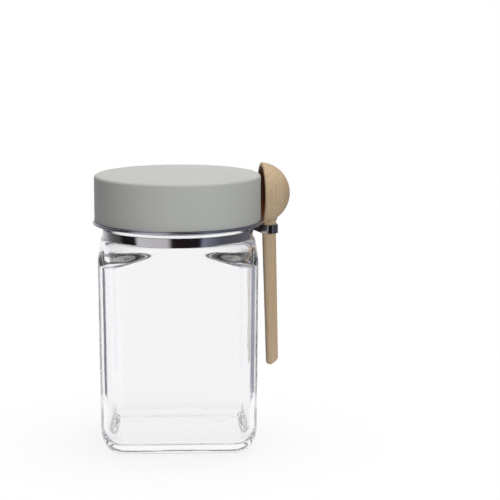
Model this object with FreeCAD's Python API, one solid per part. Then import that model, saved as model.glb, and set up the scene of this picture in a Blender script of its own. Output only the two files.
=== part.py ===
import FreeCAD, Part
import math
import os

# Square glass storage jar with a screw lid and a wooden spoon hung beside it.
# Millimetres, +Z up, origin at the middle of the base, front face towards -Y.

# Glass
body_width = 95.0            # across the faces where the shoulder starts
body_draft = 1.0             # how far each face draws in from the shoulder down to the base
corner_radius = 15.0         # upright corners
face_crown = 1.0             # degrees that half a face bows through
heel_radius = 10.0           # rounding between the base and the faces
body_height = 114.0          # base to the start of the shoulder
shoulder_height = 10.5
shoulder_inset = 1.8         # from a face in to the round ledge on top of the shoulder
shoulder_bow = 15.0          # degrees that half a side bows through where the shoulder is round
shoulder_steps = 6           # strips that the shoulder is ruled in
heel_steps = 5               # and the heel
glass_wall = 3.8
base_thickness = 7.0
cavity_heel_radius = 9.0
shoulder_wall = 4.0          # glass between the ledge and the top of the cavity's shoulder
ledge_margin = 0.5           # ledge standing out past the band
land_step = 1.3              # from the land under the band in to the threaded neck
neck_wall = 3.5
rim_bevel = 0.9              # both edges of the glass rim

# Steel band and spoon loop
band_height = 5.8
band_thickness = 0.8
band_clearance = 0.1
loop_thickness = 0.6
loop_drop = 0.5              # loop's top edge below the band's
loop_clearance = 0.7         # from the faces of the spoon's handle
strap_taper = 3.2            # the strap's lower edge climbs this much towards the band
foot_length = 7.0            # each welded foot, along the band

# Lid
lid_gap = 2.7                # bare glass between the band and the lid
lid_height = 29.5
lid_sheet = 0.5
lid_edge_radius = 2.5
edge_steps = 3               # facets across the lid's top edge
bead_projection = 1.2        # rolled bead standing out from the lid's wall
bead_steps = 3               # facets across the bead
insert_disc = 2.5
insert_wall = 1.8
thread_room = 1.6            # between the neck and the insert's skirt
skirt_depth = 22.0
rib_reach = 2.85             # centring ribs standing out from the skirt
rib_clearance = 0.15
rib_thickness = 1.2
rib_count = 12
rib_set_back = 3.0           # from the skirt's two ends
seal_thickness = 2.0
seal_overlap = 1.0           # seal reaching inside the glass rim
seal_clearance = 0.4         # seal inside the skirt

# Spoon
spoon_angle = 14.7           # degrees round from the right-hand face towards the back
spoon_turn = 9.0             # degrees that the spoon is turned in its loop, bowl towards the front
spoon_lean = 1.4             # degrees, with the foot of the handle leaning away from the jar
spoon_gap = 0.9              # bowl's rim clear of the lid's bead
bowl_radius = 18.8           # of the ball that the bowl is part of
bowl_depth = 17.4
bowl_wall = 3.0
bowl_steps = 5               # facets from the bowl's rim to its far side
rim_edge = 0.6               # bevel of the bowl's rim
handle_set = 4.8             # handle's axis behind the bowl's rim
handle_width = 8.4           # across its faces at the loop
handle_corner = 3.3          # its softened edges there
handle_end_width = 7.4
handle_end_corner = 2.9
handle_bow = 8.0             # degrees that half a face bows through
handle_length = 84.5         # loop's middle down to the tip
bowl_lift = 0.5              # bowl's underside above the loop
flare_width = 1.2            # how far the handle widens into the bowl
flare_height = 3.6
tip_rounding = 1.8
tip_steps = 3                # facets round the handle's tip
tip_length = 5.0             # stretch above the tip without taper
tip_slant = 40.0             # degrees of the cut across the tip, rising away from the jar
tip_set = 0.7                # start of that cut, from the handle's axis towards the jar

# Heights that follow from these
ledge_z = body_height + shoulder_height
band_top = ledge_z + band_height
lid_bottom = band_top + lid_gap
lid_top = lid_bottom + lid_height
disc_top = lid_top - lid_sheet
disc_bottom = disc_top - insert_disc
rim_z = disc_bottom - seal_thickness
skirt_bottom = disc_bottom - skirt_depth
loop_top = band_top - loop_drop
loop_mid = (ledge_z + loop_top) / 2

# Radii that follow from these
ledge_radius = body_width / 2 - shoulder_inset
band_outer = ledge_radius - ledge_margin
band_inner = band_outer - band_thickness
land_radius = band_inner - band_clearance
neck_radius = land_radius - land_step
bore_radius = neck_radius - neck_wall
skirt_inner = neck_radius + thread_room
skirt_outer = skirt_inner + insert_wall
rib_outer = skirt_outer + rib_reach
lid_inner = rib_outer + rib_clearance
lid_radius = lid_inner + lid_sheet
bead_outer = lid_radius + bead_projection
loop_place = (bead_outer + spoon_gap + handle_set) / math.cos(math.radians(spoon_turn))
bowl_place = loop_place - handle_set
loop_inner = handle_width / 2 + loop_clearance
loop_outer = loop_inner + loop_thickness

up = FreeCAD.Vector(0, 0, 1)
outward = FreeCAD.Vector(1, 0, 0)
centre = FreeCAD.Vector(0, 0, 0)
near = 0.001                 # edges this close to a plane lie in it


def point(radius, height):
    """A point of a turned profile."""
    return FreeCAD.Vector(radius, 0, height)


def arc(start, middle, end):
    return Part.Arc(start, middle, end).toShape()


def round_corner(middle, radius, start, end, steps):
    """Points of a turned profile on an arc about a middle point, between two angles in degrees."""
    angles = [math.radians(start + (end - start) * step / steps) for step in range(steps + 1)]
    return [middle + point(radius * math.cos(a), radius * math.sin(a)) for a in angles]


def turned(points, axis):
    """Solid turned about an axis through the origin from the corners of a profile."""
    return Part.Face(Part.makePolygon(points + points[:1])).revolve(centre, axis, 360)


def tube(outer, inner, bottom, top):
    return disc(outer, bottom, top).cut(disc(inner, bottom, top))


def disc(radius, bottom, top):
    return Part.makeCylinder(radius, top - bottom, FreeCAD.Vector(0, 0, bottom))


def square_section(half_width, corner, bow, height):
    """Closed outline of four faintly bowed sides and four round corners.

    A corner as large as the half width makes it a circle.
    """
    half_turn = math.radians(bow)
    spread = math.cos(half_turn) - math.sin(half_turn)
    side_radius = (half_width - spread * corner) / (1 - spread)
    side_middle = half_width - side_radius
    corner_middle = (side_radius - corner) * math.sin(half_turn)
    edges = []
    for quarter in range(4):
        turn = FreeCAD.Rotation(up, 90 * quarter)

        def on_side(angle):
            across = side_middle + side_radius * math.cos(angle)
            return turn.multVec(FreeCAD.Vector(across, side_radius * math.sin(angle), height))

        def on_corner(angle):
            across = corner_middle + corner * math.cos(angle)
            along = corner_middle + corner * math.sin(angle)
            return turn.multVec(FreeCAD.Vector(across, along, height))

        edges.append(arc(on_side(-half_turn), on_side(0), on_side(half_turn)))
        edges.append(arc(on_side(half_turn), on_corner(math.pi / 4), on_corner(math.pi / 2 - half_turn)))
    return Part.Wire(edges)


def face_distance(height):
    """How far the outside of a face stands from the axis: a drafted wall, then the dome of the shoulder."""
    draft = body_draft / body_height * max(0, body_height - height)
    climb = max(0, height - body_height) / shoulder_height
    return body_width / 2 - draft - shoulder_inset * (1 - math.sqrt(1 - climb ** 2))


def square_to_round(wall, corner, heel, floor, spring, round_z):
    """Sections of the body, a wall in from its faces, from a rounded heel up over a domed shoulder."""
    rings = []
    for step in range(heel_steps + 1):
        angle = math.pi / 2 * step / heel_steps
        inset = heel * (1 - math.sin(angle))
        ring_z = floor + heel * (1 - math.cos(angle))
        ring_half = face_distance(ring_z) - wall - inset
        rings.append(square_section(ring_half, corner - inset, face_crown, ring_z))
    for step in range(shoulder_steps + 1):
        angle = math.pi / 2 * step / shoulder_steps
        share = 1 - math.cos(angle)
        ring_z = spring + (round_z - spring) * math.sin(angle)
        ring_half = face_distance(ring_z) - wall
        ring_corner = corner + (ring_half - corner) * share
        ring_bow = face_crown + (shoulder_bow - face_crown) * share
        rings.append(square_section(ring_half, ring_corner, ring_bow, ring_z))
    return rings


def make_glass_jar():
    """Square body, domed into a round neck, and hollowed parallel to its faces up through the throat."""
    sections = square_to_round(0, corner_radius, heel_radius, 0, body_height, ledge_z)
    outside = Part.makeLoft(sections, True, True)
    neck = turned([point(0, body_height), point(land_radius, body_height), point(land_radius, band_top),
                   point(neck_radius, band_top), point(neck_radius, rim_z - rim_bevel),
                   point(neck_radius - rim_bevel, rim_z), point(0, rim_z)], up)
    hollow = square_to_round(glass_wall, corner_radius - glass_wall, cavity_heel_radius, base_thickness,
                             body_height - shoulder_wall / 2, ledge_z - shoulder_wall)
    throat = [(face_distance(z) - glass_wall, z) for z in (ledge_z - shoulder_wall / 2, ledge_z)]
    throat += [(bore_radius, band_top), (bore_radius, rim_z - rim_bevel), (bore_radius + rim_bevel, rim_z)]
    hollow += [square_section(radius, radius, shoulder_bow, z) for radius, z in throat]
    return outside.fuse(neck).cut(Part.makeLoft(hollow, True, True)).removeSplitter()


def make_neck_band():
    """Hoop of strip steel."""
    return tube(band_outer, band_inner, ledge_z, band_top)


def make_spoon_loop():
    """Strip bent round the handle, its two legs pinched into a strap and footed on the band."""
    ring_place = FreeCAD.Vector(loop_place, 0, 0)
    ring = tube(loop_outer, loop_inner, ledge_z, loop_top).translated(ring_place)
    legs = 2 * loop_thickness
    strap_start = band_outer - loop_thickness
    strap_end = loop_place - loop_inner
    corners = [point(strap_start, loop_top), point(strap_end, loop_top),
               point(strap_end, ledge_z), point(strap_start, ledge_z + strap_taper)]
    strap = Part.Face(Part.makePolygon(corners + corners[:1])).extrude(FreeCAD.Vector(0, legs, 0))
    strap.translate(FreeCAD.Vector(0, -legs / 2, 0))
    strap = strap.cut(disc(loop_inner, ledge_z, band_top).translated(ring_place))
    foot = tube(band_outer + loop_thickness, band_outer, ledge_z + strap_taper / 2, loop_top)
    reach = Part.makeBox(band_outer, 2 * foot_length, lid_top)
    foot = foot.common(reach.translated(FreeCAD.Vector(loop_place - band_outer, -foot_length, 0)))
    loop = ring.fuse([strap, foot]).cut(disc(band_outer, ledge_z, band_top)).removeSplitter()
    return loop.rotated(centre, up, spoon_angle)


def make_lid_shell():
    """Drawn sheet cap with a rolled bead round its open edge."""
    bead_radius = (bead_outer - lid_inner) / 2
    bead_middle = point(lid_inner + bead_radius, lid_bottom + bead_radius)
    meet = math.degrees(math.acos((lid_radius - bead_middle.x) / bead_radius))
    crown = point(lid_radius - lid_edge_radius, lid_top - lid_edge_radius)
    profile = round_corner(bead_middle, bead_radius, -90, meet, bead_steps)
    profile += round_corner(crown, lid_edge_radius, 0, 90, edge_steps)
    profile += [point(0, lid_top), point(0, disc_top), point(crown.x, disc_top)]
    profile += [point(lid_inner, crown.z), point(lid_inner, lid_bottom)]
    return turned(profile, up)


def make_lid_insert():
    """Moulded screw cap: a disc, a skirt round the neck and ribs that centre it in the shell."""
    cup = disc(skirt_outer, skirt_bottom, disc_top).cut(disc(skirt_inner, skirt_bottom, disc_bottom))
    band = tube(rib_outer, skirt_outer - insert_wall / 2, skirt_bottom + rib_set_back,
                disc_top - rib_set_back)
    slab = Part.makeBox(rib_outer, rib_thickness, lid_top, FreeCAD.Vector(0, -rib_thickness / 2, 0))
    rib = band.common(slab)
    ribs = [rib.rotated(centre, up, 360 * index / rib_count) for index in range(rib_count)]
    return cup.fuse(ribs).removeSplitter()


def make_lid_seal():
    """Flat ring stamped from sheet."""
    return tube(skirt_inner - seal_clearance, bore_radius - seal_overlap, rim_z, disc_bottom)


def bowl_form(radius, bowl_z):
    """Ball turned about a level axis, whose far side lies one bowl depth out from the rim."""
    middle = point(bowl_place + bowl_depth - bowl_radius, 0)
    profile = round_corner(middle, radius, 180, 0, 2 * bowl_steps)
    return turned(profile, outward).translated(FreeCAD.Vector(0, 0, bowl_z))


def handle_form(flare, top):
    """Handle of softened square section, ruled from its slanted tip to the flare; the loop holds it at 0."""
    rings = []
    for step in range(tip_steps + 1):
        angle = math.pi / 2 * step / tip_steps
        inset = tip_rounding * (1 - math.sin(angle))
        ring_half = handle_end_width / 2 - inset
        ring_z = tip_rounding * (1 - math.cos(angle)) - handle_length
        rings.append(square_section(ring_half, handle_end_corner - inset, handle_bow, ring_z))
    tip_end = tip_length - handle_length
    rings.append(square_section(handle_end_width / 2, handle_end_corner, handle_bow, tip_end))
    for spread, ring_z in ((0, 0), (0, flare), (flare_width, top)):
        rings.append(square_section(handle_width / 2 + spread, handle_corner + spread, handle_bow, ring_z))
    run = handle_end_width + tip_set
    rise = run * math.tan(math.radians(tip_slant))
    corners = [point(-tip_set, 0), point(handle_end_width, 0), point(handle_end_width, rise)]
    wedge = Part.Face(Part.makePolygon(corners + corners[:1])).extrude(FreeCAD.Vector(0, 2 * run, 0))
    return Part.makeLoft(rings, True, True).cut(wedge.translated(FreeCAD.Vector(0, -run, -handle_length)))


def make_spoon():
    """One piece of wood: a deep hollowed bowl, flared into a tapered handle."""
    bowl_z = loop_top + bowl_lift + bowl_radius
    flare = loop_top - loop_mid
    handle = handle_form(flare, flare + flare_height)
    handle.rotate(centre, FreeCAD.Vector(0, 1, 0), -spoon_lean)
    handle.translate(FreeCAD.Vector(loop_place, 0, loop_mid))
    lid_side = Part.makeBox(bowl_place, 4 * bowl_radius, 2 * bowl_z, FreeCAD.Vector(0, -2 * bowl_radius, 0))
    hollow = lid_side.fuse(bowl_form(bowl_radius - bowl_wall, bowl_z))
    bowl = bowl_form(bowl_radius, bowl_z).cut(hollow)
    boxes = [(e, e.BoundBox) for e in bowl.Edges]
    rim = [e for e, box in boxes if abs(box.XMin - bowl_place) < near and box.XLength < near]
    spoon = bowl.makeChamfer(rim_edge, rim).fuse(handle.cut(hollow)).removeSplitter()
    spoon.rotate(FreeCAD.Vector(loop_place, 0, 0), up, -spoon_turn)
    return spoon.rotated(centre, up, spoon_angle)


os.makedirs("parts", exist_ok=True)
pieces = {
    "glass_jar": make_glass_jar(),
    "neck_band": make_neck_band(),
    "spoon_loop": make_spoon_loop(),
    "lid_shell": make_lid_shell(),
    "lid_insert": make_lid_insert(),
    "lid_seal": make_lid_seal(),
    "spoon": make_spoon(),
}
for name, shape in pieces.items():
    shape.exportStep(f"parts/{name}.step")
    print(name, len(shape.Solids), shape.isValid(), round(shape.Volume), shape.BoundBox)
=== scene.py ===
import math

import bmesh
import bpy
import numpy as np
from mathutils import Matrix, Vector


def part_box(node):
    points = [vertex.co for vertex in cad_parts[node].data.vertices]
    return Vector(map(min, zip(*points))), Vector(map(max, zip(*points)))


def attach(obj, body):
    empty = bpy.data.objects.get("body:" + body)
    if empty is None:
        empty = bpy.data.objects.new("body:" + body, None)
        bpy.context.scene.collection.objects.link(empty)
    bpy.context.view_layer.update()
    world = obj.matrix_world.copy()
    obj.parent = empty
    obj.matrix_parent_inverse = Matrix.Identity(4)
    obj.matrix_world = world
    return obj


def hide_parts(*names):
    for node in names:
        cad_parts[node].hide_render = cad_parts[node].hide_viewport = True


# Looks of a square glass storage jar with a painted screw lid and a wooden spoon.
# Metres, in the CAD frame: +Z up, origin under the middle of the base, front towards -Y.

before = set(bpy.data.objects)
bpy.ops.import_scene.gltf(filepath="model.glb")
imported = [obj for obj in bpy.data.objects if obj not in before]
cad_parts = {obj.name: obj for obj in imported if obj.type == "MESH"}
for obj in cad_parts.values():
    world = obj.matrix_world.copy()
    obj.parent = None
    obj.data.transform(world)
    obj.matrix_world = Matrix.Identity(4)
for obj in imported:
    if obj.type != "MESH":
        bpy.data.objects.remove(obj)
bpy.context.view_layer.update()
mm = 0.001

# Sizes read off the frame
_, glass_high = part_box("glass_jar")
band_low, band_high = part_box("neck_band")
lid_low, lid_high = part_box("lid_shell")
insert_low, insert_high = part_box("lid_insert")
seal_low, seal_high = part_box("lid_seal")
loop_low, loop_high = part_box("spoon_loop")

# Glass
body_half = 47.4 * mm
body_draft = 1.0 * mm
corner_radius = 15.0 * mm
face_crown = math.radians(1.0)
heel_inset = 10.0 * mm
heel_rise = 15.0 * mm
shoulder_start = 114.0 * mm
shoulder_bow = math.radians(15.0)
glass_wall = 3.8 * mm
base_thickness = 7.0 * mm
cavity_heel = 9.0 * mm
throat_start = 3.5 * mm
throat_drop = 2.0 * mm
throat_ease = 1 / 1.4
ledge_z = band_low.z
band_top = band_high.z
rim_z = glass_high.z
shoulder_inset = 1.8 * mm
land_radius = 44.3 * mm
neck_radius = 43.0 * mm
neck_slope = 1.3 * mm
bore_radius = 39.5 * mm
rim_rounding = 0.9 * mm
side_points = 24
corner_points = 40
heel_rows = 14
wall_rows = 14
shoulder_rows = 28
throat_rows = 10
neck_rows = 64

# Screw thread, two starts
thread_lead = 16.0 * mm
thread_start = math.radians(-75.0)
thread_foot = 131.7 * mm
thread_sweep = math.radians(300.0)
thread_fade = math.radians(25.0)
start_count = 2
ridge_width = 2.4 * mm
ridge_height = 1.0 * mm
insert_ridge = 0.8 * mm
insert_turns = 0.62
insert_thread_lift = 2.0 * mm
ridge_sink = 0.1 * mm
ridge_tip = 0.05
ridge_taper = 0.08
ridge_points = 10
helix_steps = 96

# Band, loop and seal
band_gap = 0.1 * mm
band_edge = 0.25 * mm
seal_overhang = 1.0 * mm
seal_edge = 0.4 * mm
hoop_edge_points = 4
loop_crease_degrees = 30

# Lid
lid_sheet = 0.5 * mm
lid_radius = 49.9 * mm
lid_edge = 1.9 * mm
lid_groove = 0.7 * mm
bead_outer = -lid_low.x
bead_lap = 0.1 * mm
bead_end_degrees = 110
edge_steps = 14
bead_steps = 24
skirt_inner = 44.6 * mm
skirt_outer = 46.4 * mm
insert_disc = 2.5 * mm
rib_count = 12
rib_thickness = 1.2 * mm
rib_set_back = 3.0 * mm
rib_root = 0.5 * mm
rib_gap = 0.1 * mm
round_steps = 256

# Spoon
spoon_angle = math.radians(14.7)
spoon_turn = math.radians(9.0)
spoon_lean = math.radians(1.4)
spoon_gap = 0.9 * mm
bowl_rise = 19.3 * mm
bowl_radius = 18.6 * mm
bowl_depth = 17.4 * mm
bowl_wall = 3.0 * mm
bowl_middle = bowl_depth - bowl_radius
rim_edge = 0.9 * mm
handle_set = 4.8 * mm
handle_half = 4.2 * mm
handle_corner = 3.3 * mm
handle_end_half = 3.7 * mm
handle_end_corner = 2.9 * mm
handle_bow = math.radians(8.0)
handle_length = 84.5 * mm
flare_width = 1.2 * mm
flare_height = 3.6 * mm
tip_rounding = 1.8 * mm
tip_slant = math.radians(40.0)
tip_set = 0.7 * mm
loop_top = loop_high.z
loop_mid = (loop_low.z + loop_high.z) / 2
loop_place = (bead_outer + spoon_gap + handle_set) / math.cos(spoon_turn)
bowl_place = loop_place - handle_set
bowl_z = loop_top + bowl_rise
bowl_inner_steps = 40
bowl_outer_steps = 48
bowl_rim_steps = 6
tip_rows = 6
handle_rows = 24
flare_rows = 10
grow_voxel = 0.4 * mm
sand_factor = 0.5
sand_rounds = 8
# Reach and fade of the darker brown laid inside the bowl's hollow
darkening_reach = 0.9 * mm
darkening_fade = 0.5 * mm

# Clean-up of meshes
crease_degrees = 40
merge_distance = 0.002 * mm
sliver_length = 0.001 * mm

# Finishes
mask_low, mask_high = 0.3, 0.7
mask_detail = 3.0
bump_strength = 0.5
glass_tint = (0.968, 0.970, 0.976, 1.0)
glass_index = 1.5
glass_ripple = 0.35 * mm
ripple_scale = 45.0
grain_scale = (900.0, 900.0, 16.0)
grain_detail = 5.0
grain_twist = 0.4
grain_depth = 0.07 * mm
grain_low, grain_high = 0.22, 0.76
wood_roughness = (0.7, 0.5)
white = (1.0, 1.0, 1.0, 1.0)

# Floor and light
floor_radius = 0.16
floor_points = 96
floor_drop = 0.02 * mm
floor_grey = (0.9, 0.9, 0.9, 1.0)
room_light = (0.3, 0.3, 0.305, 1.0)
lamp_aim = Vector((0, 0, 0.08))
light_bounces = 40

# Share of the floor near the jar that is plain white, and the reach over which it grows to all
floor_glow = 0.86
fade_start, fade_end = 0.05, 0.155

# Fall of a ray, as the Z of its direction, at which the strips begin to show and show fully
strips_from, strips_full = -0.27, -0.235

# Colour sockets of a Mix node, found by number because other sockets share their names
mix_first, mix_second, mix_result = 6, 7, 2

# Camera, from the perspective of the photograph
image_size = 500
focal_pixels = 2000
camera_elevation = math.radians(9.2)
camera_azimuth = math.radians(-2.3)
camera_distance = 1.204
aim_point = Vector((43.4 * mm, 0, 116.4 * mm))


def srgb(red, green, blue):
    """Linear colour of an 8-bit screen colour."""
    def linear(value):
        share = value / 255
        return share / 12.92 if share <= 0.04045 else ((share + 0.055) / 1.055) ** 2.4
    return (linear(red), linear(green), linear(blue), 1.0)


# Materials

def variation_group():
    """Shared effect: soft cloudy and fine speckled masks over a piece, from its own coordinates."""
    tree = bpy.data.node_groups.new("surface variation", "ShaderNodeTree")
    for name, value in (("Cloud Scale", 40.0), ("Speckle Scale", 2000.0)):
        socket = tree.interface.new_socket(name, in_out="INPUT", socket_type="NodeSocketFloat")
        socket.default_value = value
    for name in ("Cloud", "Speckle"):
        tree.interface.new_socket(name, in_out="OUTPUT", socket_type="NodeSocketFloat")
    entry = tree.nodes.new("NodeGroupInput")
    leave = tree.nodes.new("NodeGroupOutput")
    place = tree.nodes.new("ShaderNodeTexCoord")
    for name in ("Cloud", "Speckle"):
        noise = tree.nodes.new("ShaderNodeTexNoise")
        noise.inputs["Detail"].default_value = mask_detail
        tree.links.new(place.outputs["Object"], noise.inputs["Vector"])
        tree.links.new(entry.outputs[f"{name} Scale"], noise.inputs["Scale"])
        tree.links.new(noise.outputs["Fac"], leave.inputs[name])
    return tree


def new_material(name):
    """Node material, with its tree and its shader."""
    material = bpy.data.materials.new(name)
    material.use_nodes = True
    return material, material.node_tree, material.node_tree.nodes["Principled BSDF"]


def add_variation(tree, cloud_scale, speckle_scale=2000.0):
    """The shared masks, at the scales of one finish."""
    node = tree.nodes.new("ShaderNodeGroup")
    node.node_tree = variation
    node.inputs["Cloud Scale"].default_value = cloud_scale
    node.inputs["Speckle Scale"].default_value = speckle_scale
    return node


def ramp(tree, mask, low, high, start=mask_low, end=mask_high):
    """Two colours mixed by a mask."""
    node = tree.nodes.new("ShaderNodeValToRGB")
    node.color_ramp.elements[0].position = start
    node.color_ramp.elements[0].color = low
    node.color_ramp.elements[1].position = end
    node.color_ramp.elements[1].color = high
    tree.links.new(mask, node.inputs["Fac"])
    return node.outputs["Color"]


def spread(tree, mask, low, high):
    """A mask stretched to run from one value to another."""
    node = tree.nodes.new("ShaderNodeMapRange")
    node.inputs["From Min"].default_value = mask_low
    node.inputs["From Max"].default_value = mask_high
    node.inputs["To Min"].default_value = low
    node.inputs["To Max"].default_value = high
    tree.links.new(mask, node.inputs["Value"])
    return node.outputs["Result"]


def colour_mix(tree, factor):
    """Mix of two colours, which are still to be set or linked."""
    node = tree.nodes.new("ShaderNodeMix")
    node.data_type = "RGBA"
    tree.links.new(factor, node.inputs["Factor"])
    return node


def math_node(tree, operation):
    """Math node of one kind, with its values still to be set or linked."""
    node = tree.nodes.new("ShaderNodeMath")
    node.operation = operation
    return node


def bump(tree, height, distance):
    """Normal roughened by a mask."""
    node = tree.nodes.new("ShaderNodeBump")
    node.inputs["Strength"].default_value = bump_strength
    node.inputs["Distance"].default_value = distance
    tree.links.new(height, node.inputs["Height"])
    return node.outputs["Normal"]


def plain_finish(name, low, high, roughness, cloud_scale=60.0, speckle_scale=1500.0,
                 grain=0.01 * mm, metallic=0.0):
    """Opaque finish with a slight drift of colour, gloss and grain."""
    material, tree, shader = new_material(name)
    shader.inputs["Metallic"].default_value = metallic
    masks = add_variation(tree, cloud_scale, speckle_scale)
    tree.links.new(ramp(tree, masks.outputs["Cloud"], low, high), shader.inputs["Base Color"])
    tree.links.new(spread(tree, masks.outputs["Speckle"], *roughness), shader.inputs["Roughness"])
    tree.links.new(bump(tree, masks.outputs["Speckle"], grain), shader.inputs["Normal"])
    return material


def glass_finish():
    """Clear glass with the slow ripple of a pressed surface."""
    material, tree, shader = new_material("clear pressed glass")
    shader.inputs["Base Color"].default_value = glass_tint
    shader.inputs["Transmission Weight"].default_value = 1.0
    shader.inputs["IOR"].default_value = glass_index
    shader.inputs["Roughness"].default_value = 0.0
    masks = add_variation(tree, ripple_scale)
    tree.links.new(bump(tree, masks.outputs["Cloud"], glass_ripple), shader.inputs["Normal"])
    return material


def wood_finish():
    """Sanded wood with upright grain, darker brown where a mesh says it is hollow."""
    material, tree, shader = new_material("sanded wood")
    place = tree.nodes.new("ShaderNodeTexCoord")
    along = tree.nodes.new("ShaderNodeMapping")
    along.inputs["Scale"].default_value = grain_scale
    tree.links.new(place.outputs["Object"], along.inputs["Vector"])
    grain = tree.nodes.new("ShaderNodeTexNoise")
    grain.inputs["Scale"].default_value = 1.0
    grain.inputs["Detail"].default_value = grain_detail
    grain.inputs["Distortion"].default_value = grain_twist
    tree.links.new(along.outputs["Vector"], grain.inputs["Vector"])
    colour = ramp(tree, grain.outputs["Fac"], srgb(183, 157, 126), srgb(207, 183, 152),
                  start=grain_low, end=grain_high)
    hollow_mask = tree.nodes.new("ShaderNodeAttribute")
    hollow_mask.attribute_name = "hollow"
    hollow_darkening = colour_mix(tree, hollow_mask.outputs["Fac"])
    # Darker brown inside the bowl's hollow, where the hollow attribute is 1
    hollow_darkening.inputs[mix_second].default_value = srgb(136, 78, 34)
    tree.links.new(colour, hollow_darkening.inputs[mix_first])
    tree.links.new(hollow_darkening.outputs[mix_result], shader.inputs["Base Color"])
    tree.links.new(spread(tree, grain.outputs["Fac"], *wood_roughness), shader.inputs["Roughness"])
    tree.links.new(bump(tree, grain.outputs["Fac"], grain_depth), shader.inputs["Normal"])
    return material


variation = variation_group()
clear_glass = glass_finish()
lid_paint = plain_finish(
    "satin stone grey paint", srgb(187, 188, 183), srgb(191, 192, 188), roughness=(0.5, 0.58),
    cloud_scale=30.0, speckle_scale=2600.0)
bead_steel = plain_finish(
    "rolled edge, bare steel", srgb(178, 180, 190), srgb(190, 192, 202), roughness=(0.2, 0.28),
    speckle_scale=1800.0, grain=0.005 * mm, metallic=1.0)
polished_steel = plain_finish(
    "polished steel", srgb(205, 204, 206), srgb(214, 213, 215), roughness=(0.07, 0.12),
    grain=0.004 * mm, metallic=1.0)
# Darker copy of the polished steel for the loop: painted shade, standing in for the dark lid and
# jar that its reflection sees
darkened_loop_steel = plain_finish(
    "bent strip steel, painted darker for shade", srgb(160, 156, 158), srgb(172, 168, 170), roughness=(0.12, 0.18),
    speckle_scale=1800.0, grain=0.005 * mm, metallic=1.0)
insert_plastic = plain_finish(
    "natural moulded plastic", srgb(232, 231, 228), srgb(238, 237, 234), roughness=(0.45, 0.55))
seal_silicone = plain_finish(
    "clouded silicone", srgb(205, 203, 198), srgb(218, 216, 211), roughness=(0.5, 0.6))
spoon_wood = wood_finish()


# Shapes

def square_ring(half, corner, bow):
    """Outline of four bowed sides and four round corners; equal half and corner make a circle."""
    share = math.cos(bow) - math.sin(bow)
    side_radius = (half - share * corner) / (1 - share)
    side_middle = half - side_radius
    corner_middle = (side_radius - corner) * math.sin(bow)
    side = np.linspace(-bow, bow, side_points, endpoint=False)
    turn = np.linspace(bow, math.pi / 2 - bow, corner_points, endpoint=False)
    across = np.concatenate([side_middle + side_radius * np.cos(side),
                             corner_middle + corner * np.cos(turn)])
    along = np.concatenate([side_radius * np.sin(side), corner_middle + corner * np.sin(turn)])
    quarters = []
    for quarter in range(4):
        cosine = round(math.cos(quarter * math.pi / 2))
        sine = round(math.sin(quarter * math.pi / 2))
        turned = (across * cosine - along * sine, across * sine + along * cosine)
        quarters.append(np.stack(turned, 1))
    return np.concatenate(quarters)


def level(outline, height):
    """Points of an outline at one height."""
    return np.column_stack([outline, np.full(len(outline), height)])


def round_ring(radius, height):
    """Circle with as many points as the other rings have."""
    return level(square_ring(radius, radius, shoulder_bow), height)


def face_distance(height):
    """How far the outside of a face stands from the axis, up a drafted wall and a dome."""
    draft = body_draft / shoulder_start * max(0, shoulder_start - height)
    climb = max(0, height - shoulder_start) / (ledge_z - shoulder_start)
    return body_half - draft - shoulder_inset * (1 - math.sqrt(1 - min(1, climb) ** 2))


def domed(angle):
    """Share of the turn from square to circle, and of the climb, along a quarter round."""
    return 1 - math.cos(angle), math.sin(angle)


def eased(angle):
    """The same for a shoulder that leaves the wall softly and ends softly in the throat."""
    part = angle / (math.pi / 2)
    return part ** 2 * (3 - 2 * part), part ** throat_ease


def body_rings(wall, corner, heel, rise, floor, spring, round_z, form):
    """Rings a wall in from the faces, from a rounded heel up over a shoulder of this form."""
    rings = []
    for angle in np.linspace(0, math.pi / 2, heel_rows):
        inset = heel * (1 - math.sin(angle))
        height = floor + rise * (1 - math.cos(angle))
        half = face_distance(height) - wall - inset
        rings.append(level(square_ring(half, corner - inset, face_crown), height))
    for height in np.linspace(floor + rise, spring, wall_rows)[1:-1]:
        rings.append(level(square_ring(face_distance(height) - wall, corner, face_crown), height))
    for angle in np.linspace(0, math.pi / 2, shoulder_rows):
        share, climb = form(angle)
        height = spring + (round_z - spring) * climb
        half = face_distance(height) - wall
        bow = face_crown + (shoulder_bow - face_crown) * share
        rings.append(level(square_ring(half, corner + (half - corner) * share, bow), height))
    return rings


def threaded(ring):
    """A ring of the neck, pushed out where the two thread ridges cross it."""
    angle = np.arctan2(ring[:, 1], ring[:, 0])
    lift = np.zeros(len(ring))
    for start in np.arange(start_count) * (2 * math.pi / start_count):
        travel = np.mod(angle - thread_start - start, 2 * math.pi)
        ridge_z = thread_foot + thread_lead * travel / (2 * math.pi)
        fade = np.clip(np.minimum(travel, thread_sweep - travel) / thread_fade, 0, 1)
        away = np.clip(np.abs(ring[:, 2] - ridge_z) / (ridge_width / 2), 0, 1)
        lift = np.maximum(lift, ridge_height * fade * np.cos(away * math.pi / 2))
    swell = 1 + lift / neck_radius
    return ring * np.column_stack([swell, swell, np.ones(len(ring))])


def mesh_object(name, vertices, faces, material):
    """Object from plain geometry, smooth but for its sharp edges."""
    mesh = bpy.data.meshes.new(name)
    mesh.from_pydata([tuple(v) for v in vertices], [], faces)
    mesh.validate()
    mesh.shade_smooth()
    mesh.set_sharp_from_angle(angle=math.radians(crease_degrees))
    mesh.materials.append(material)
    obj = bpy.data.objects.new(name, mesh)
    bpy.context.scene.collection.objects.link(obj)
    return obj


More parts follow.
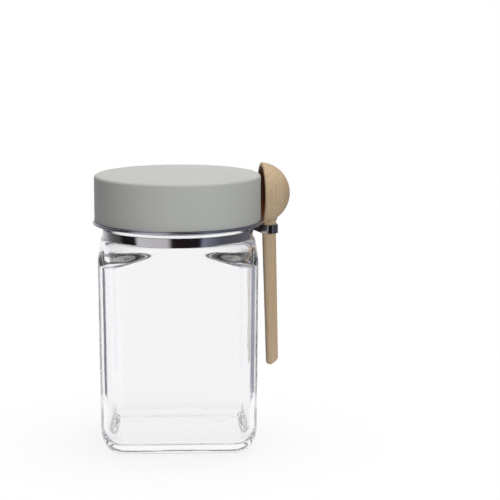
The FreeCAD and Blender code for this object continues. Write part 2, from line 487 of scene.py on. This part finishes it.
def skinned(name, rings, material):
    """Closed skin over a stack of rings, with a cap at each end."""
    count = len(rings[0])
    caps = [rings[0].mean(0, keepdims=True), rings[-1].mean(0, keepdims=True)]
    vertices = np.concatenate(rings + caps)
    first_cap, last_cap = len(vertices) - 2, len(vertices) - 1
    last_ring = (len(rings) - 1) * count
    faces = []
    for index in range(count):
        after = (index + 1) % count
        faces.append((first_cap, after, index))
        faces.append((last_cap, last_ring + index, last_ring + after))
        for row in range(0, last_ring, count):
            faces.append((row + index, row + after, row + count + after, row + count + index))
    return mesh_object(name, vertices, faces, material)


def lathed(name, profile, material):
    """Ring or cap turned about the upright axis from a closed profile, its outside running up."""
    turns = np.linspace(0, 2 * math.pi, round_steps, endpoint=False)
    count = len(profile)
    vertices = [(r * math.cos(t), r * math.sin(t), z) for t in turns for r, z in profile]
    faces = []
    for step in range(round_steps):
        row, following = step * count, (step + 1) % round_steps * count
        for index in range(count):
            after = (index + 1) % count
            faces.append((row + index, following + index, following + after, row + after))
    return merged(mesh_object(name, vertices, faces, material))


def merged(obj, crease=crease_degrees):
    """Doubles merged, as of a profile that touches the axis, and the shading set again."""
    work = bmesh.new()
    work.from_mesh(obj.data)
    bmesh.ops.remove_doubles(work, verts=work.verts, dist=merge_distance)
    bmesh.ops.dissolve_degenerate(work, edges=work.edges, dist=sliver_length)
    loose = [edge for edge in work.edges if edge.is_wire]
    bmesh.ops.delete(work, geom=loose, context="EDGES")
    work.to_mesh(obj.data)
    work.free()
    obj.data.shade_smooth()
    obj.data.set_sharp_from_angle(angle=math.radians(crease))
    return obj


def curve(middle_r, middle_z, radius, start, end, steps=10):
    """Points of a profile on an arc, between two angles in degrees."""
    angles = np.radians(np.linspace(start, end, steps))
    return [(middle_r + radius * math.cos(a), middle_z + radius * math.sin(a)) for a in angles]


def smooth_copy(node, material, crease):
    """Merged and smoothed copy of a CAD node."""
    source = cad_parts[node]
    obj = bpy.data.objects.new(f"{node}_finished", source.data.copy())
    bpy.context.scene.collection.objects.link(obj)
    obj.data.materials.clear()
    obj.data.materials.append(material)
    return merged(obj, crease)


def make_glass():
    """Skin that runs up the outside, over the rim and down the inside to the floor."""
    rings = body_rings(0, corner_radius, heel_inset, heel_rise, 0, shoulder_start, ledge_z, domed)
    rings += [round_ring(land_radius, ledge_z), round_ring(land_radius, band_top)]
    rim_foot = rim_z - rim_rounding
    neck_foot = band_top + neck_slope
    neck_heights = np.linspace(neck_foot, rim_foot, neck_rows)
    rings += [threaded(round_ring(neck_radius, z)) for z in neck_heights]
    rim = curve(neck_radius - rim_rounding, rim_foot, rim_rounding, 0, 90)[1:]
    rim += curve(bore_radius + rim_rounding, rim_foot, rim_rounding, 90, 180)
    rings += [round_ring(r, z) for r, z in rim]
    cavity_top = ledge_z - throat_drop
    cavity = body_rings(glass_wall, corner_radius - glass_wall, cavity_heel, cavity_heel,
                        base_thickness, shoulder_start - throat_start, cavity_top, eased)
    throat_heights = np.linspace(cavity_top, ledge_z, throat_rows)[1:]
    cavity += [round_ring(face_distance(z) - glass_wall, z) for z in throat_heights]
    cavity += [round_ring(bore_radius, band_top)]
    return skinned("glass_body", rings + cavity[::-1], clear_glass)


def make_lid():
    """Painted sheet wall, and the bare bead rolled at its edge below a fine groove."""
    inner = lid_radius - lid_sheet
    roll = (bead_outer - inner) / 2
    top, bottom = lid_high.z, lid_low.z
    crease_z = bottom + 2 * roll
    wall_z = crease_z + lid_groove / 2
    crown_r, crown_z = lid_radius - lid_edge, top - lid_edge
    wall = [(inner, wall_z), (lid_radius - lid_groove / 3, wall_z),
            (lid_radius, crease_z + lid_groove)]
    wall += curve(crown_r, crown_z, lid_edge, 0, 90, edge_steps)
    wall += [(0, top), (0, top - lid_sheet)]
    wall += curve(crown_r, crown_z, lid_edge - lid_sheet, 90, 0, edge_steps)
    shell = lathed("lid_wall", wall, lid_paint)
    rolled = curve(inner + roll, bottom + roll, roll, -180, bead_end_degrees, bead_steps)
    rolled += [(inner + bead_lap, crease_z), (inner + bead_lap, crease_z + lid_groove),
               (inner, crease_z + lid_groove)]
    bead = lathed("lid_bead", rolled, bead_steel)
    return shell, bead


def make_insert_cup():
    """Plain skirt and disc of the screw insert."""
    bottom, top = insert_low.z, insert_high.z
    ceiling = top - insert_disc
    profile = [(skirt_inner, bottom), (skirt_outer, bottom), (skirt_outer, top), (0, top),
               (0, ceiling), (skirt_inner, ceiling)]
    return lathed("insert_cup", profile, insert_plastic)


def make_bowl():
    """Hollow bowl of the spoon, lying with its opening towards the lid."""
    inner_radius = bowl_radius - bowl_wall
    rim_outer = math.sqrt(bowl_radius ** 2 - bowl_middle ** 2)
    rim_inner = math.sqrt(inner_radius ** 2 - bowl_middle ** 2)
    outer_start = math.degrees(math.asin((rim_edge - bowl_middle) / bowl_radius))
    inner_start = math.degrees(math.asin((rim_edge - bowl_middle) / inner_radius))
    profile = curve(0, bowl_middle, inner_radius, 90, inner_start, bowl_inner_steps)
    profile += curve(rim_inner + rim_edge, rim_edge, rim_edge, 180, 270, bowl_rim_steps)
    profile += curve(rim_outer - rim_edge, rim_edge, rim_edge, 270, 360, bowl_rim_steps)
    profile += curve(0, bowl_middle, bowl_radius, outer_start, 90, bowl_outer_steps)
    bowl = lathed("spoon", profile, spoon_wood)
    lay = Matrix.Translation((bowl_place, 0, bowl_z)) @ Matrix.Rotation(math.pi / 2, 4, "Y")
    bowl.data.transform(lay)
    return bowl


def make_handle():
    """Tapered handle that flares into the bowl, with a rounded tip cut on the slant."""
    rings = []
    for angle in np.linspace(0, math.pi / 2, tip_rows):
        inset = tip_rounding * (1 - math.sin(angle))
        ring = square_ring(handle_end_half - inset, handle_end_corner - inset, handle_bow)
        rings.append(level(ring, tip_rounding * (1 - math.cos(angle)) - handle_length))
    foot = tip_rounding - handle_length
    for share in np.linspace(0, 1, handle_rows)[1:]:
        half = handle_end_half + (handle_half - handle_end_half) * share
        corner = handle_end_corner + (handle_corner - handle_end_corner) * share
        rings.append(level(square_ring(half, corner, handle_bow), foot * (1 - share)))
    flare = loop_top - loop_mid
    for share in np.linspace(0, 1, flare_rows):
        wider = flare_width * share ** 2
        ring = square_ring(handle_half + wider, handle_corner + wider, handle_bow)
        rings.append(level(ring, flare + flare_height * share))
    handle = skinned("handle", rings, spoon_wood)
    cut = bmesh.new()
    cut.from_mesh(handle.data)
    outward = Vector((math.sin(tip_slant), 0, -math.cos(tip_slant)))
    bmesh.ops.bisect_plane(cut, geom=cut.verts[:] + cut.edges[:] + cut.faces[:],
                           plane_co=(-tip_set, 0, -handle_length), plane_no=outward,
                           clear_outer=True)
    bmesh.ops.holes_fill(cut, edges=[edge for edge in cut.edges if edge.is_boundary])
    cut.to_mesh(handle.data)
    cut.free()
    lean = Matrix.Rotation(-spoon_lean, 4, "Y")
    handle.data.transform(Matrix.Translation((loop_place, 0, loop_mid)) @ lean)
    return handle


def make_spoon():
    """Bowl and handle grown together into one skin, with the softened edges of sanded wood."""
    spoon = make_bowl()
    handle = make_handle()
    joined = bmesh.new()
    joined.from_mesh(spoon.data)
    joined.from_mesh(handle.data)
    joined.to_mesh(spoon.data)
    joined.free()
    bpy.data.objects.remove(handle)
    grow = spoon.modifiers.new("grow together", "REMESH")
    grow.mode = "VOXEL"
    grow.voxel_size = grow_voxel
    sand = spoon.modifiers.new("sand", "SMOOTH")
    sand.factor = sand_factor
    sand.iterations = sand_rounds
    evaluated = spoon.evaluated_get(bpy.context.evaluated_depsgraph_get())
    made = bpy.data.meshes.new_from_object(evaluated)
    spoon.modifiers.clear()
    spoon.data = made
    made.materials.clear()
    made.materials.append(spoon_wood)
    made.shade_smooth()
    places = np.empty(len(made.vertices) * 3)
    made.vertices.foreach_get("co", places)
    bowl_heart = (bowl_place + bowl_middle, 0, bowl_z)
    away = np.linalg.norm(places.reshape(-1, 3) - bowl_heart, axis=1)
    # Share of darker brown: 1 inside the bowl's hollow, fading to 0 past its inner wall
    inside = (bowl_radius - bowl_wall + darkening_reach - away) / darkening_fade
    hollow_darkness = made.attributes.new("hollow", "FLOAT", "POINT")
    hollow_darkness.data.foreach_set("value", np.clip(inside, 0, 1))
    hang = Matrix.Translation((loop_place, 0, 0)) @ Matrix.Rotation(-spoon_turn, 4, "Z")
    hang = Matrix.Rotation(spoon_angle, 4, "Z") @ hang @ Matrix.Translation((-loop_place, 0, 0))
    made.transform(hang)
    return spoon


# Geometry Nodes

def node_shape(name, tree, values):
    """Plain mesh from a Geometry Nodes tree, with the tree's named inputs set to these values."""
    obj = bpy.data.objects.new(name, bpy.data.meshes.new(name))
    bpy.context.scene.collection.objects.link(obj)
    modifier = obj.modifiers.new(name, "NODES")
    modifier.node_group = tree
    for item in tree.interface.items_tree:
        if item.item_type == "SOCKET" and item.in_out == "INPUT" and item.name in values:
            modifier[item.identifier] = values[item.name]
    evaluated = obj.evaluated_get(bpy.context.evaluated_depsgraph_get())
    made = bpy.data.meshes.new_from_object(evaluated)
    obj.modifiers.remove(modifier)
    obj.data = made
    obj.data.shade_smooth()
    obj.data.set_sharp_from_angle(angle=math.radians(crease_degrees))
    return obj


def new_tree(name, inputs):
    """Geometry Nodes tree with inputs, as (socket name, kind, value), and its two end nodes."""
    tree = bpy.data.node_groups.new(name, "GeometryNodeTree")
    tree.interface.new_socket("Geometry", in_out="OUTPUT", socket_type="NodeSocketGeometry")
    for title, kind, value in inputs:
        socket = tree.interface.new_socket(title, in_out="INPUT", socket_type=f"NodeSocket{kind}")
        if value is not None:
            socket.default_value = value
    return tree, tree.nodes.new("NodeGroupInput"), tree.nodes.new("NodeGroupOutput")


def finish_tree(tree, entry, leave, instances):
    """Real geometry with its material at the end of a tree."""
    realize = tree.nodes.new("GeometryNodeRealizeInstances")
    paint = tree.nodes.new("GeometryNodeSetMaterial")
    tree.links.new(instances, realize.inputs["Geometry"])
    tree.links.new(realize.outputs["Geometry"], paint.inputs["Geometry"])
    tree.links.new(entry.outputs["Material"], paint.inputs["Material"])
    tree.links.new(paint.outputs["Geometry"], leave.inputs["Geometry"])


def hoop_tree():
    """Hoop of a rectangular section with rounded edges, swept round a circle."""
    tree, entry, leave = new_tree("hoop", [
        ("Radius", "Float", 0.04), ("Thickness", "Float", 0.001), ("Height", "Float", 0.005),
        ("Edge", "Float", 0.0002), ("Middle", "Float", 0.0), ("Material", "Material", None)])
    circle = tree.nodes.new("GeometryNodeCurvePrimitiveCircle")
    circle.inputs["Resolution"].default_value = round_steps
    section = tree.nodes.new("GeometryNodeCurvePrimitiveQuadrilateral")
    soften = tree.nodes.new("GeometryNodeFilletCurve")
    soften.mode = "POLY"
    soften.inputs["Count"].default_value = hoop_edge_points
    sweep = tree.nodes.new("GeometryNodeCurveToMesh")
    height = tree.nodes.new("ShaderNodeCombineXYZ")
    lift = tree.nodes.new("GeometryNodeTransform")
    link = tree.links.new
    link(entry.outputs["Radius"], circle.inputs["Radius"])
    link(entry.outputs["Thickness"], section.inputs["Width"])
    link(entry.outputs["Height"], section.inputs["Height"])
    link(section.outputs["Curve"], soften.inputs["Curve"])
    link(entry.outputs["Edge"], soften.inputs["Radius"])
    link(circle.outputs["Curve"], sweep.inputs["Curve"])
    link(soften.outputs["Curve"], sweep.inputs["Profile Curve"])
    link(entry.outputs["Middle"], height.inputs["Z"])
    link(sweep.outputs["Mesh"], lift.inputs["Geometry"])
    link(height.outputs["Vector"], lift.inputs["Translation"])
    finish_tree(tree, entry, leave, lift.outputs["Geometry"])
    return tree


def rib_tree():
    """Upright ribs set round a circle, each turned to face out."""
    tree, entry, leave = new_tree("insert ribs", [
        ("Count", "Int", 12), ("Radius", "Float", 0.05), ("Size", "Vector", None),
        ("Middle", "Float", 0.0), ("Material", "Material", None)])
    ring = tree.nodes.new("GeometryNodeMeshCircle")
    raise_ring = tree.nodes.new("GeometryNodeTransform")
    lift = tree.nodes.new("ShaderNodeCombineXYZ")
    rib = tree.nodes.new("GeometryNodeMeshCube")
    place = tree.nodes.new("GeometryNodeInputPosition")
    face_out = tree.nodes.new("FunctionNodeAlignRotationToVector")
    face_out.axis = "X"
    face_out.pivot_axis = "Z"
    set_round = tree.nodes.new("GeometryNodeInstanceOnPoints")
    link = tree.links.new
    link(entry.outputs["Count"], ring.inputs["Vertices"])
    link(entry.outputs["Radius"], ring.inputs["Radius"])
    link(entry.outputs["Middle"], lift.inputs["Z"])
    link(ring.outputs["Mesh"], raise_ring.inputs["Geometry"])
    link(lift.outputs["Vector"], raise_ring.inputs["Translation"])
    link(entry.outputs["Size"], rib.inputs["Size"])
    link(place.outputs["Position"], face_out.inputs["Vector"])
    link(raise_ring.outputs["Geometry"], set_round.inputs["Points"])
    link(rib.outputs["Mesh"], set_round.inputs["Instance"])
    link(face_out.outputs["Rotation"], set_round.inputs["Rotation"])
    finish_tree(tree, entry, leave, set_round.outputs["Instances"])
    return tree


def thread_tree():
    """Thread ridge swept up a helix, thin at both ends, repeated for each start."""
    tree, entry, leave = new_tree("insert thread", [
        ("Starts", "Int", 2), ("Radius", "Float", 0.04), ("Turns", "Float", 1.0),
        ("Rise", "Float", 0.01), ("Ridge", "Float", 0.001), ("Foot", "Float", 0.0),
        ("Turned", "Float", 0.0), ("Material", "Material", None)])
    helix = tree.nodes.new("GeometryNodeCurveSpiral")
    helix.inputs["Resolution"].default_value = helix_steps
    along = tree.nodes.new("GeometryNodeSplineParameter")
    taper = tree.nodes.new("ShaderNodeFloatCurve")
    points = taper.mapping.curves[0].points
    points[0].location = (0.0, ridge_tip)
    points[1].location = (1.0, ridge_tip)
    points.new(ridge_taper, 1.0)
    points.new(1.0 - ridge_taper, 1.0)
    outline = tree.nodes.new("GeometryNodeCurvePrimitiveCircle")
    outline.inputs["Resolution"].default_value = ridge_points
    sweep = tree.nodes.new("GeometryNodeCurveToMesh")
    sweep.inputs["Fill Caps"].default_value = True
    starts = tree.nodes.new("GeometryNodePoints")
    index = tree.nodes.new("GeometryNodeInputIndex")
    share = math_node(tree, "DIVIDE")
    angle = math_node(tree, "MULTIPLY_ADD")
    angle.inputs[1].default_value = 2 * math.pi
    rotation = tree.nodes.new("ShaderNodeCombineXYZ")
    height = tree.nodes.new("ShaderNodeCombineXYZ")
    repeat = tree.nodes.new("GeometryNodeInstanceOnPoints")
    link = tree.links.new
    link(entry.outputs["Radius"], helix.inputs["Start Radius"])
    link(entry.outputs["Radius"], helix.inputs["End Radius"])
    link(entry.outputs["Turns"], helix.inputs["Rotations"])
    link(entry.outputs["Rise"], helix.inputs["Height"])
    link(along.outputs["Factor"], taper.inputs["Value"])
    link(entry.outputs["Ridge"], outline.inputs["Radius"])
    link(helix.outputs["Curve"], sweep.inputs["Curve"])
    link(outline.outputs["Curve"], sweep.inputs["Profile Curve"])
    link(taper.outputs["Value"], sweep.inputs["Scale"])
    link(entry.outputs["Foot"], height.inputs["Z"])
    link(entry.outputs["Starts"], starts.inputs["Count"])
    link(height.outputs["Vector"], starts.inputs["Position"])
    link(index.outputs["Index"], share.inputs[0])
    link(entry.outputs["Starts"], share.inputs[1])
    link(share.outputs["Value"], angle.inputs[0])
    link(entry.outputs["Turned"], angle.inputs[2])
    link(angle.outputs["Value"], rotation.inputs["Z"])
    link(starts.outputs["Points"], repeat.inputs["Points"])
    link(sweep.outputs["Mesh"], repeat.inputs["Instance"])
    link(rotation.outputs["Vector"], repeat.inputs["Rotation"])
    finish_tree(tree, entry, leave, repeat.outputs["Instances"])
    return tree


def make_hoop(name, inner, outer, low, high, edge, material):
    """Hoop between two radii and two heights."""
    return node_shape(name, hoops, {
        "Radius": (inner + outer) / 2, "Thickness": outer - inner, "Height": high - low,
        "Edge": edge, "Middle": (low + high) / 2, "Material": material})


def make_insert_ribs():
    """Ribs that centre the insert in the lid, rooted in its skirt."""
    bottom, top = insert_low.z + rib_set_back, insert_high.z - rib_set_back
    inner, outer = skirt_outer - rib_root, insert_high.x - rib_gap
    return node_shape("insert_ribs", rib_tree(), {
        "Count": rib_count, "Radius": (inner + outer) / 2, "Middle": (bottom + top) / 2,
        "Size": (outer - inner, rib_thickness, top - bottom), "Material": insert_plastic})


def make_insert_thread():
    """Ridges inside the skirt, half a pitch from those on the glass and with the same lead."""
    below = thread_lead / (2 * start_count)
    foot = insert_low.z + insert_thread_lift
    travel = (foot + below - thread_foot) / thread_lead
    return node_shape("insert_thread", thread_tree(), {
        "Starts": start_count, "Radius": skirt_inner - ridge_sink, "Turns": insert_turns,
        "Rise": insert_turns * thread_lead, "Ridge": insert_ridge, "Foot": foot,
        "Turned": thread_start + 2 * math.pi * travel, "Material": insert_plastic})


# Pieces, each on its body

def dress(obj, body, slot, *nodes):
    """A piece set on its body, with the CAD nodes that it stands in for hidden; the slot is not
    used.
    """
    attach(obj, body)
    if nodes:
        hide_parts(*nodes)


dress(make_glass(), "jar", "clear_glass", "glass_jar")
hoops = hoop_tree()
band = make_hoop("neck_hoop", land_radius + band_gap, band_high.x, ledge_z, band_top,
                 band_edge, polished_steel)
dress(band, "jar", "polished_steel", "neck_band")
# The loop wears the darker steel, painted shade over its reflection
loop = smooth_copy("spoon_loop", darkened_loop_steel, loop_crease_degrees)
dress(loop, "jar", "polished_steel", "spoon_loop")
lid_wall, lid_bead = make_lid()
dress(lid_wall, "lid", "lid_paint", "lid_shell")
dress(lid_bead, "lid", "lid_paint")
dress(make_insert_cup(), "lid", "insert_plastic", "lid_insert")
dress(make_insert_ribs(), "lid", "insert_plastic")
dress(make_insert_thread(), "lid", "insert_plastic")
seal = make_hoop("seal_ring", bore_radius - seal_overhang, seal_high.x, seal_low.z, seal_high.z,
                 seal_edge, seal_silicone)
dress(seal, "seal", "seal_silicone", "lid_seal")
dress(make_spoon(), "spoon", "spoon_wood", "spoon")


# Floor, light and camera

def make_floor():
    """Round pale floor that keeps a soft shadow and fades to plain white towards its edge."""
    turns = np.linspace(0, 2 * math.pi, floor_points, endpoint=False)
    edge = [(floor_radius * math.cos(t), floor_radius * math.sin(t), -floor_drop) for t in turns]
    mesh = bpy.data.meshes.new("floor")
    mesh.from_pydata(edge, [], [range(floor_points)])
    material = bpy.data.materials.new("pale floor")
    material.use_nodes = True
    tree = material.node_tree
    tree.nodes.clear()
    paths = tree.nodes.new("ShaderNodeLightPath")
    place = tree.nodes.new("ShaderNodeTexCoord")
    reach = tree.nodes.new("ShaderNodeVectorMath")
    reach.operation = "LENGTH"
    share = tree.nodes.new("ShaderNodeMapRange")
    share.interpolation_type = "SMOOTHSTEP"
    share.inputs["From Min"].default_value = fade_start
    share.inputs["From Max"].default_value = fade_end
    share.inputs["To Min"].default_value = floor_glow
    share.inputs["To Max"].default_value = 1.0
    mixed = math_node(tree, "MULTIPLY")
    matt = tree.nodes.new("ShaderNodeBsdfDiffuse")
    matt.inputs["Color"].default_value = floor_grey
    glow = tree.nodes.new("ShaderNodeEmission")
    glow.inputs["Strength"].default_value = 1.0
    mix = tree.nodes.new("ShaderNodeMixShader")
    leave = tree.nodes.new("ShaderNodeOutputMaterial")
    link = tree.links.new
    seen = paths.outputs["Is Camera Ray"]
    for kind in ("Is Glossy Ray", "Is Transmission Ray"):
        either = math_node(tree, "MAXIMUM")
        link(seen, either.inputs[0])
        link(paths.outputs[kind], either.inputs[1])
        seen = either.outputs["Value"]
    link(place.outputs["Object"], reach.inputs[0])
    link(reach.outputs["Value"], share.inputs["Value"])
    link(seen, mixed.inputs[0])
    link(share.outputs["Result"], mixed.inputs[1])
    link(mixed.outputs["Value"], mix.inputs["Fac"])
    link(matt.outputs["BSDF"], mix.inputs[1])
    link(glow.outputs["Emission"], mix.inputs[2])
    link(mix.outputs["Shader"], leave.inputs["Surface"])
    mesh.materials.append(material)
    floor = bpy.data.objects.new("floor", mesh)
    bpy.context.scene.collection.objects.link(floor)


def make_world():
    """White studio: soft boxes and dark gaps round the horizon for metal, dark strips for glass."""
    world = bpy.data.worlds.new("studio")
    bpy.context.scene.world = world
    world.use_nodes = True
    tree = world.node_tree
    tree.nodes.clear()
    link = tree.links.new
    place = tree.nodes.new("ShaderNodeTexCoord")
    parts = tree.nodes.new("ShaderNodeSeparateXYZ")
    link(place.outputs["Generated"], parts.inputs["Vector"])
    bearing = math_node(tree, "ARCTAN2")
    flip = math_node(tree, "MULTIPLY")
    flip.inputs[1].default_value = -1.0
    link(parts.outputs["Y"], flip.inputs[0])
    link(parts.outputs["X"], bearing.inputs[0])
    link(flip.outputs["Value"], bearing.inputs[1])
    turn = tree.nodes.new("ShaderNodeMapRange")
    turn.inputs["From Min"].default_value = -math.pi
    turn.inputs["From Max"].default_value = math.pi
    link(bearing.outputs["Value"], turn.inputs["Value"])

    def horizon(stops):
        """Colours round the horizon, in degrees from the front, with -180 and 180 behind."""
        node = tree.nodes.new("ShaderNodeValToRGB")
        elements = node.color_ramp.elements
        for degrees, colour in stops:
            position = (degrees + 180) / 360
            if position == 0:
                element = elements[0]
            elif position == 1:
                element = elements[-1]
            else:
                element = elements.new(position)
            element.color = colour
        link(turn.outputs["Result"], node.inputs["Fac"])
        return node.outputs["Color"]

    metal_view = horizon([
        (-180, srgb(252, 252, 255)), (-145, srgb(200, 200, 205)), (-125, srgb(120, 118, 119)),
        (-100, srgb(88, 86, 86)), (-92, srgb(30, 28, 28)), (-69, srgb(30, 27, 28)),
        (-63, srgb(225, 224, 228)), (-16, srgb(215, 213, 216)), (-9, srgb(38, 29, 30)),
        (33, srgb(34, 28, 32)), (39, srgb(140, 146, 165)), (66, srgb(96, 98, 110)),
        (100, srgb(100, 99, 106)), (145, srgb(112, 111, 120)), (180, srgb(252, 252, 255))])
    dark = srgb(118, 118, 132)
    dusk = srgb(150, 150, 165)
    glass_view = horizon([
        (-180, white), (-139, white), (-134, dark), (-110, dark), (-104, white),
        (104, white), (112, dusk), (148, dusk), (154, white), (180, white)])
    nearly_level = tree.nodes.new("ShaderNodeMapRange")
    nearly_level.inputs["From Min"].default_value = strips_from
    nearly_level.inputs["From Max"].default_value = strips_full
    link(parts.outputs["Z"], nearly_level.inputs["Value"])
    strips = colour_mix(tree, nearly_level.outputs["Result"])
    strips.inputs[mix_first].default_value = white
    link(glass_view, strips.inputs[mix_second])
    paths = tree.nodes.new("ShaderNodeLightPath")
    shiny = colour_mix(tree, paths.outputs["Is Glossy Ray"])
    shiny.inputs[mix_first].default_value = room_light
    link(metal_view, shiny.inputs[mix_second])
    through = colour_mix(tree, paths.outputs["Is Transmission Ray"])
    link(shiny.outputs[mix_result], through.inputs[mix_first])
    link(strips.outputs[mix_result], through.inputs[mix_second])
    seen = colour_mix(tree, paths.outputs["Is Camera Ray"])
    link(through.outputs[mix_result], seen.inputs[mix_first])
    seen.inputs[mix_second].default_value = white
    sky = tree.nodes.new("ShaderNodeBackground")
    leave = tree.nodes.new("ShaderNodeOutputWorld")
    link(seen.outputs[mix_result], sky.inputs["Color"])
    link(sky.outputs["Background"], leave.inputs["Surface"])


def add_softbox(name, place, size, watts, colour):
    """Broad lamp turned to the jar, and hidden from steel and glass, which show the horizon."""
    lamp = bpy.data.lights.new(name, "AREA")
    lamp.shape = "DISK"
    lamp.size = size
    lamp.energy = watts
    lamp.color = colour
    obj = bpy.data.objects.new(name, lamp)
    obj.visible_glossy = False
    obj.visible_transmission = False
    obj.location = place
    obj.rotation_euler = (lamp_aim - Vector(place)).to_track_quat("-Z", "Y").to_euler()
    bpy.context.scene.collection.objects.link(obj)


def make_camera():
    """Camera at the viewing angle of the photograph."""
    data = bpy.data.cameras.new("camera")
    data.sensor_width = 36.0
    data.lens = data.sensor_width * focal_pixels / image_size
    camera = bpy.data.objects.new("camera", data)
    ahead = Vector((0, math.cos(camera_elevation), -math.sin(camera_elevation)))
    orbit = Matrix.Rotation(camera_azimuth, 3, "Z")
    camera.location = orbit @ (aim_point - ahead * camera_distance)
    camera.rotation_euler = (orbit @ ahead).to_track_quat("-Z", "Y").to_euler()
    bpy.context.scene.collection.objects.link(camera)
    bpy.context.scene.camera = camera


make_floor()
make_world()
add_softbox("top softbox", place=(0.1, 0.2, 1.3), size=0.9, watts=11.5,
            colour=(1.0, 0.965, 0.965))
add_softbox("front softbox", place=(0.45, -1.35, 0.35), size=1.0, watts=10.0,
            colour=(0.97, 1.0, 0.99))
make_camera()

# Enough bounces for the light that runs along inside the glass walls
bpy.context.scene.cycles.max_bounces = light_bounces
bpy.context.scene.cycles.transmission_bounces = light_bounces
bpy.context.scene.cycles.glossy_bounces = light_bounces
bpy.context.scene.view_settings.view_transform = "Standard"
